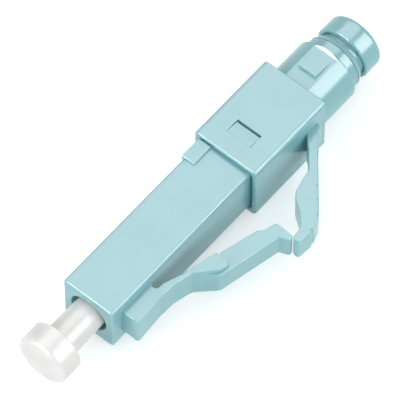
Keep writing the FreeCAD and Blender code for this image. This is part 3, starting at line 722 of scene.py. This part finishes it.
# ---- the trigger ------------------------------------------------------------
@dataclass
class Trigger:
    """The anti-snag trigger: a bowed arm, a grooved finger pad and a narrow tongue.

    Runs along the arm are given from the hinge line. The belly is the pad's inner bulge,
    between the throat and the chin, and each share is of the belly's depth.
    """

    root: float = 21.4
    root_depth: float = 0.95
    sleeve_half: float = 2.84
    pivot_out: float = 0.5
    angle: float = 40.0
    thickness: float = 0.72
    half_width: float = 1.2
    arm_length: float = 2.75
    arm_radius: float = 0.7
    throat: float = 3.65
    throat_share: float = 0.54
    throat_radius: float = 1.4
    belly: float = 0.95
    belly_rear: float = 4.55
    belly_front: float = 5.15
    belly_radius: float = 1.8
    chin: float = 6.1
    chin_share: float = 0.72
    chin_radius: float = 1.2
    pad_end: float = 7.1
    jaw_run: float = 0.25
    jaw_share: float = 0.62
    crown_run: float = 0.6
    crown_radius: float = 1.6
    brow_run: float = 0.1
    brow_share: float = 0.3
    pad_radius: float = 0.5
    tongue_half_width: float = 1.12
    tongue_front: float = 13.5
    tongue_inner: float = 7.4
    tongue_thickness: float = 0.78
    tongue_step: float = 15.2
    tongue_taper: float = 0.9
    tongue_rise: float = 0.4
    tongue_radius: float = 0.6
    tip_run: float = 0.6
    tip_bevel: float = 0.1
    tip_radius: float = 0.3
    groove_radius: float = 0.13
    groove_lift: float = 0.02
    groove_first: float = 1.22
    groove_pitch: float = 1.2
    grooves: int = 4
    edge: float = 0.1
    skin: float = 0.012
    proud: float = 0.06
    proud_end: float = 1.1
    proud_run: float = 0.7
    fillet: float = 0.22
    fillet_start: float = 0.3
    fillet_run: float = 0.65
    bend_ahead: float = 0.35
    bend_behind: float = 0.9
    stations: int = 541

    def __post_init__(self) -> None:
        """Places the hinge line: up the arm's middle line from the sleeve's side."""
        turn = math.radians(self.angle)
        self.along = np.array([math.cos(turn), math.sin(turn)])
        self.out = np.array([-math.sin(turn), math.cos(turn)])
        self.pivot = np.array([at(self.root), self.sleeve_half]) + self.along * self.pivot_out / self.along[1]

    def spot(self, along: float, out: float, radius: float = 0.0) -> Corner:
        """A corner given along the arm from the pivot, and outward of its middle line."""
        place = self.pivot + self.along * along + self.out * out
        return Corner(float(place[0]), float(place[1]), radius)

    def grooved(self, line: Array) -> Array:
        """Sinks round finger grooves into the outer line: each is an arc of groove_radius."""
        along = (line - self.pivot) @ self.along
        depth = np.zeros(len(line))
        for i in range(self.grooves):
            middle = self.arm_length + self.groove_first + i * self.groove_pitch
            arc = np.sqrt(np.maximum(self.groove_radius**2 - (along - middle) ** 2, 0))
            depth = np.maximum(depth, arc - self.groove_lift)
        return line - depth[:, None] * self.out

    def flared(self, line: Array, side: float) -> Array:
        """Thickens the arm at its root: a little over the hinge line, then a fillet into the sleeve.

        The offset is proud, eased off beyond the hinge line, plus fillet times the square
        of a share that grows towards the sleeve.
        """
        along = (line - self.pivot) @ self.along
        root = np.clip((-self.fillet_start - along) / self.fillet_run, 0, 1)
        offset = self.proud * smooth((self.proud_end - along) / self.proud_run) + self.fillet * root**2
        return line + side * offset[:, None] * self.out

    def arm(self) -> bpy.types.Object:
        """The whole trigger from inside its root to the tongue's end.

        Each corner of the inner line lies across from a place on the outer line, which
        has fewer corners.
        """
        half = self.thickness / 2
        top, low = self.tongue_inner + self.tongue_thickness, self.tongue_inner
        deep = -half - self.belly
        end = Corner(at(self.tongue_front), (top + low) / 2)
        outer = PlanLine([
            self.spot(-self.root_depth, half),
            self.spot(self.arm_length, half),
            self.spot(self.belly_rear, half),
            self.spot(self.pad_end - self.crown_run, half, self.crown_radius),
            self.spot(self.pad_end + self.brow_run, self.brow_share * half, self.pad_radius),
            Corner(at(self.tongue_step - self.tongue_rise), top, self.tongue_radius),
            Corner(at(self.tongue_front), top - self.tip_bevel, self.tip_radius),
            end,
        ])
        inner = PlanLine([
            self.spot(-self.root_depth, -half),
            self.spot(self.arm_length, -half, self.arm_radius),
            self.spot(self.throat, -half - self.throat_share * self.belly, self.throat_radius),
            self.spot(self.belly_rear, deep, self.belly_radius),
            self.spot(self.belly_front, deep, self.belly_radius),
            self.spot(self.chin, -half - self.chin_share * self.belly, self.chin_radius),
            self.spot(self.pad_end + self.jaw_run, -half - self.jaw_share * self.belly, self.pad_radius),
            Corner(at(self.tongue_front + self.tip_run), low, self.tip_radius),
            Corner(at(self.tongue_front), low + self.tip_bevel, self.tip_radius),
            end,
        ])
        across = [0, 1, 1.6, 2.0, 2.4, 3.0, 3.8, 5.3, 6, 7]
        step = np.linspace(0, 9, self.stations)
        line_out = self.flared(self.grooved(outer.at(np.interp(step, range(10), across))), 1)
        line_in = self.flared(inner.at(step), -1)
        middle = (line_out[:, 0] + line_in[:, 0]) / 2
        way = smooth((middle - at(self.tongue_step)) / self.tongue_taper + 0.5)
        wide = self.half_width + self.skin
        width = wide + (self.tongue_half_width - wide) * way
        return piece("trigger_arm", [strap(line_out, line_in, width, self.edge)])

    def build(self, finish: bpy.types.Material) -> None:
        """Makes the trigger in place of the solid one."""
        arm = self.arm()
        dress(arm, finish)
        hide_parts("trigger")
        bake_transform(arm)


# ---- the plug's trim --------------------------------------------------------
@dataclass
class PlugTrim:
    """What rounds off the plug: the snap tabs' sloping tops and the crown of the latch's root."""

    tab_front: float = 16.503
    tab_level: float = 16.9
    tab_level_radius: float = 0.5
    tab_slope_end: float = 17.62
    tab_rear: float = 17.7
    tab_rear_radius: float = 0.05
    tab_half_width: float = 1.075
    tab_top: float = 2.836
    tab_top_radius: float = 0.02
    tab_sunk: float = 0.12
    tab_base: float = 2.2
    tab_edge: float = 0.015
    root_front: float = 1.066
    root_end: float = 3.6
    root_tail: float = 0.35
    root_tail_sunk: float = 0.02
    root_top: float = 3.54
    root_lift: float = 0.004
    root_crown: float = 0.17
    root_base: float = 3.3
    root_radius: float = 0.42
    root_end_radius: float = 1.5
    root_half_width: float = 1.354
    root_edge: float = 0.1

    @staticmethod
    def ridge(corners: Sequence[Corner], count: int, base: float, half_width: float, edge: float,
              turns: int) -> Array:
        """A strap from a flat base up to an outline, with count stations along the outline."""
        line = PlanLine(corners).at(np.linspace(0, len(corners) - 1, count))
        low = np.stack([line[:, 0], np.full(count, base)], axis=1)
        return strap(line, low, np.full(count, half_width), edge, turns)

    def tab(self, side: int) -> Array:
        """A ramp on one face: level at its front, then sloping down, with a steep rear end.

        It is a strap whose height runs along Z and whose width runs along Y.
        """
        grid = self.ridge([
            Corner(at(self.tab_front), self.tab_base),
            Corner(at(self.tab_front), self.tab_top, self.tab_top_radius),
            Corner(at(self.tab_level), self.tab_top, self.tab_level_radius),
            Corner(at(self.tab_slope_end), self.tab_top - self.tab_sunk, self.tab_rear_radius),
            Corner(at(self.tab_rear), self.tab_base),
        ], 97, self.tab_base, self.tab_half_width, self.tab_edge, 3)
        return np.stack([grid[..., 0], grid[..., 2], side * grid[..., 1]], axis=2)

    def crown(self) -> Array:
        """The root's top, a little higher at its front than where the arm leaves it."""
        return self.ridge([
            Corner(at(self.root_front), self.root_base),
            Corner(at(self.root_front), self.root_top + self.root_crown, self.root_radius),
            Corner(at(self.root_end), self.root_top + self.root_lift, self.root_end_radius),
            Corner(at(self.root_end + self.root_tail), self.root_top - self.root_tail_sunk),
        ], 121, self.root_base, self.root_half_width, self.root_edge, 6)

    def build(self, finish: bpy.types.Material) -> None:
        """Makes the pieces, which ride on the housing."""
        pieces = {"snap_tab_ramps": [self.tab(1), self.tab(-1)], "latch_root_crown": [self.crown()]}
        for name, parts in pieces.items():
            made = piece(name, parts)
            dress(made, finish)
            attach(made, Body.HOUSING.value)


# ---- the neck's thread ------------------------------------------------------
@dataclass
class NeckThread:
    """The shallow thread round the four jaws, broken where the slots pass."""

    core_radius: float = 1.9
    crest: float = 0.034
    pitch: float = 0.3
    front: float = 27.92
    turns: float = 3.6
    slots: int = 4
    slot_first_deg: float = 45.0
    slot_half_deg: float = 6.6
    fade_rad: float = 0.1
    width_share: float = 0.7
    inner_sunk: float = 0.05
    foot_sunk: float = 0.004
    stations: int = 19
    ring: int = 7

    def segments(self) -> list[Array]:
        """Ridges on a helix: each point steps back by pitch for every turn round the axis.

        A ridge's section is half a cosine wave, crest high, over a flat foot.
        """
        parts = []
        quarter = 360 / self.slots
        for k in range(int(self.turns * self.slots)):
            first = self.slot_first_deg + k * quarter + self.slot_half_deg
            last = self.slot_first_deg + (k + 1) * quarter - self.slot_half_deg
            angle = np.radians(np.linspace(first, last, self.stations))
            ends = np.minimum(angle - angle[0], angle[-1] - angle)
            fade = np.minimum(1, ends / self.fade_rad)[:, None]
            v = np.linspace(-0.5, 0.5, self.ring)
            height = self.crest * np.cos(math.pi * v) * fade
            low = np.full_like(height, self.core_radius - self.inner_sunk)
            radius = np.concatenate([low, self.core_radius - self.foot_sunk + height], axis=1)
            along = np.concatenate([v[::-1], v]) * self.pitch * self.width_share
            x = at(self.front) - self.pitch * angle[:, None] / (2 * math.pi) + along[None]
            y, z = radius * np.cos(angle)[:, None], radius * np.sin(angle)[:, None]
            parts.append(np.stack([x, y, z], axis=2))
        return parts

    def build(self, finish: bpy.types.Material) -> None:
        """Makes the thread on the tail body."""
        thread = piece("neck_thread", self.segments(), 60.0)
        dress(thread, finish)
        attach(thread, Body.HOUSING.value)


# ---- the ferrule's spring ---------------------------------------------------
@dataclass
class FerruleSpring:
    """The coil behind the splice, which is squeezed as the ferrule is pushed back."""

    rear_x: float = -19.87
    length: float = 4.0
    mean_radius: float = 1.32
    wire_radius: float = 0.13
    turns: float = 4.5
    ring: int = 12
    stations: int = 163

    def coil(self) -> Array:
        """A helix of round wire.

        The middle line is x = rear + length t / T, y = R sin t, z = -R cos t. The section
        is spanned by the outward direction and by the normal of outward and tangent.
        """
        t = np.linspace(0, 2 * math.pi * self.turns, self.stations)
        out = np.stack([np.zeros_like(t), np.sin(t), -np.cos(t)], axis=1)
        middle = out * self.mean_radius
        middle[:, 0] = self.rear_x + self.length * t / t[-1]
        tangent = np.stack([np.full_like(t, self.length / t[-1]), np.cos(t) * self.mean_radius,
                            np.sin(t) * self.mean_radius], axis=1)
        side = np.cross(tangent, out)
        side /= np.linalg.norm(side, axis=1)[:, None]
        a = np.linspace(0, 2 * math.pi, self.ring, endpoint=False)[None, :, None]
        section = np.cos(a) * out[:, None] + np.sin(a) * side[:, None]
        return middle[:, None] + self.wire_radius * section

    def build(self, finish: bpy.types.Material) -> None:
        """Makes the coil in place of the solid spring."""
        made = piece("ferrule_coil", [self.coil()])
        dress(made, finish)
        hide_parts("ferrule_spring")
        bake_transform(made)


# ---- finishes on the solids -------------------------------------------------
class Wardrobe:
    """Gives every solid that is shown its finish. The levers and the spring are replaced."""

    def finishes(self) -> dict[str, bpy.types.Material]:
        """One material for each node, with that moulding's own marks."""
        pins = ((3.0, 1.3), (9.5, -1.2), (13.5, 1.2))
        plug_pins = [Mark(at(behind), y, -2.25, 0.5) for behind, y in pins]
        sleeve_pins = [Mark(at(19.6), y, -2.84, 0.55) for y in (1.5, -1.5)]
        nut_gate = [Mark(at(30.0), 1.55, 0, 0.3)]
        cap_gate = [Mark(at(-5.24), 0, 0, 0.45, 0.08)]
        splice = core_plastic(srgb(222, 198, 150), srgb(210, 184, 134)).made("splice_plastic")
        guide = core_plastic(srgb(232, 232, 226), srgb(220, 220, 212)).made("guide_plastic")
        return {
            "front_housing": AQUA_PLASTIC.made("aqua_plug", True, plug_pins),
            "rear_housing": AQUA_PLASTIC.made("aqua_sleeve", False, sleeve_pins),
            "tail_body": AQUA_PLASTIC.made("aqua_tail", True),
            "clamp_nut": AQUA_PLASTIC.made("aqua_nut", False, nut_gate),
            "dust_cap": CAP_PLASTIC.made("cap_plastic", False, cap_gate),
            "ferrule": CERAMIC.made("zirconia"),
            "fibre_stub": GLASS.made("silica"),
            "ferrule_flange": PLATED_BRASS.made("plated_brass"),
            "splice_base": splice,
            "cover_plate_front": splice,
            "cover_plate_rear": splice,
            "splice_clip_front": SPRING_STEEL.made("spring_steel"),
            "splice_clip_rear": SPRING_STEEL.made("spring_steel_rear"),
            "fibre_guide": guide,
        }

    def dress_all(self) -> None:
        """Puts each finish on its node."""
        for name, material in self.finishes().items():
            dress(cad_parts[name], material)
            LOG.info("dressed %s", name)


# ---- studio -----------------------------------------------------------------
@dataclass(frozen=True)
class Lamp:
    """A square softbox: its direction from the connector, distance, size and radiance."""

    name: str
    way: tuple[float, float, float]
    distance: float
    size: float
    radiance: float
    fills: bool = True


@dataclass
class Studio:
    """The pale floor, the soft lights, the plain surround and the camera."""

    azimuth: float = 40.0
    elevation: float = 59.2
    lens: float = 504.0
    distance: float = 401.08
    target: tuple[float, float, float] = (-19.8, 0.0, 0.0)
    aside: float = 3.7115
    below: float = 3.8598
    floor_z: float = -2.84
    floor_half: float = 300.0
    floor_cells: int = 8
    paper: Colour = (0.86, 0.86, 0.86)
    paper_deep: Colour = (0.84, 0.84, 0.84)
    tooth_mm: float = 0.8
    glow: float = 0.42
    surround_tint: tuple[float, float, float, float] = (0.98, 1.0, 1.0, 1.0)
    surround: float = 0.78
    sensor: float = 36.0
    clip: tuple[float, float] = (0.05, 10.0)
    aim: tuple[float, float, float] = (-0.014, 0.002, 0.0)
    lamps: tuple[Lamp, ...] = (
        Lamp("overhead", (-0.392, -0.329, 0.859), 0.46, 0.4, 5.0, False),
        Lamp("front", (0.85, -0.3, 0.35), 0.5, 0.3, 2.4),
        Lamp("side", (0.1, 0.9, 0.42), 0.5, 0.3, 2.0),
        Lamp("front_edge", (0.70, -0.33, 0.62), 0.5, 0.36, 20.0, False),
        Lamp("side_edge", (-0.3, 0.75, 0.58), 0.5, 0.4, 10.0, False),
    )

    def camera(self) -> None:
        """A long lens looking down at the connector's latch side from ahead of it."""
        az, el = math.radians(self.azimuth), math.radians(self.elevation)
        back = Vector((math.cos(el) * math.cos(az), math.cos(el) * math.sin(az), math.sin(el)))
        right = Vector((0, 0, 1)).cross(back).normalized()
        up = back.cross(right)
        place = Vector(self.target) + back * self.distance - right * self.aside - up * self.below
        data = bpy.data.cameras.new("camera")
        data.lens, data.sensor_width = self.lens, self.sensor
        data.clip_start, data.clip_end = self.clip
        made = bpy.data.objects.new("camera", data)
        turn = Matrix((right, up, back)).transposed().to_4x4()
        made.matrix_world = Matrix.Translation(place * MM) @ turn
        bpy.context.scene.collection.objects.link(made)
        bpy.context.scene.camera = made

    def light(self, lamp: Lamp) -> None:
        """Hangs one square softbox, aimed at the connector."""
        data = bpy.data.lights.new(lamp.name, "AREA")
        data.size = lamp.size
        data.energy = lamp.radiance * math.pi * lamp.size**2
        made = bpy.data.objects.new(lamp.name, data)
        way = Vector(lamp.way).normalized()
        turn = way.to_track_quat("Z", "Y").to_matrix().to_4x4()
        made.matrix_world = Matrix.Translation(Vector(self.aim) + way * lamp.distance) @ turn
        made.visible_diffuse = lamp.fills
        bpy.context.scene.collection.objects.link(made)

    def floor(self) -> None:
        """A plain pale floor under the connector."""
        n = self.floor_cells + 1
        side = np.linspace(-self.floor_half, self.floor_half, n)
        x, y = np.meshgrid(side, side, indexing="ij")
        points = np.stack([x, y, np.full_like(x, self.floor_z)], axis=-1).reshape(-1, 3) * MM
        i, j = np.meshgrid(np.arange(n - 1), np.arange(n - 1), indexing="ij")
        quads = np.stack([i * n + j, (i + 1) * n + j, (i + 1) * n + j + 1, i * n + j + 1], axis=-1)
        mesh = bpy.data.meshes.new("floor")
        mesh.from_pydata(points.tolist(), [], quads.reshape(-1, 4).tolist())
        made = bpy.data.objects.new("floor", mesh)
        bpy.context.scene.collection.objects.link(made)
        bench = Bench(bpy.data.materials.new("floor_paper"))
        tooth = bench.noise(self.tooth_mm, 3.0)
        colour = bench.mixed(tooth, self.paper, self.paper_deep)
        paper = bench.node("ShaderNodeBsdfDiffuse", {}, {"Color": colour})
        glow = bench.node("ShaderNodeEmission", {}, {"Color": WHITE, "Strength": self.glow})
        both = bench.node("ShaderNodeAddShader", {}, {0: paper.outputs[0], 1: glow.outputs[0]})
        shares = {0: self.noticed(bench), 1: paper.outputs[0], 2: both.outputs[0]}
        mix = bench.node("ShaderNodeMixShader", {}, shares)
        bench.node("ShaderNodeOutputMaterial", {}, {0: mix.outputs[0]})
        dress(made, bench.owner)

    @staticmethod
    def noticed(bench: Bench) -> Shade:
        """1 for a ray from the camera, through something clear or off gloss, and 0 for the others."""
        path = bench.node("ShaderNodeLightPath", {}, {})
        camera, clear, gloss = (
            Shade(bench, path.outputs[f"Is {kind} Ray"]) for kind in ("Camera", "Transmission", "Glossy")
        )
        return camera.higher(clear).higher(gloss)

    def world(self) -> None:
        """A dim, even surround that looks white where it is seen directly or in gloss."""
        bench = Bench(bpy.data.worlds.new("surround"))
        kind = "ShaderNodeBackground"
        dim = bench.node(kind, {}, {"Color": self.surround_tint, "Strength": self.surround})
        white = bench.node(kind, {}, {"Color": WHITE, "Strength": 1.0})
        shares = {0: self.noticed(bench), 1: dim.outputs[0], 2: white.outputs[0]}
        mix = bench.node("ShaderNodeMixShader", {}, shares)
        bench.node("ShaderNodeOutputWorld", {}, {0: mix.outputs[0]})
        bpy.context.scene.world = bench.owner

    def build(self) -> None:
        """Sets up everything round the connector. The softboxes that don't fill only add gloss."""
        self.camera()
        for lamp in self.lamps:
            self.light(lamp)
        self.floor()
        self.world()
        bpy.context.scene.view_settings.view_transform = "Standard"


def main() -> None:
    """Builds the studio, dresses the solids and makes what the script adds or replaces."""
    logging.basicConfig(level=logging.INFO, format="%(message)s")
    Studio().build()
    Wardrobe().dress_all()
    Latch().build(AQUA_PLASTIC.made("aqua_latch", True))
    Trigger().build(AQUA_PLASTIC.made("aqua_trigger", True))
    PlugTrim().build(AQUA_PLASTIC.made("aqua_trim"))
    NeckThread().build(AQUA_PLASTIC.made("aqua_thread"))
    FerruleSpring().build(SPRING_STEEL.made("spring_wire_coil"))


if __name__ == "__main__":
    main()
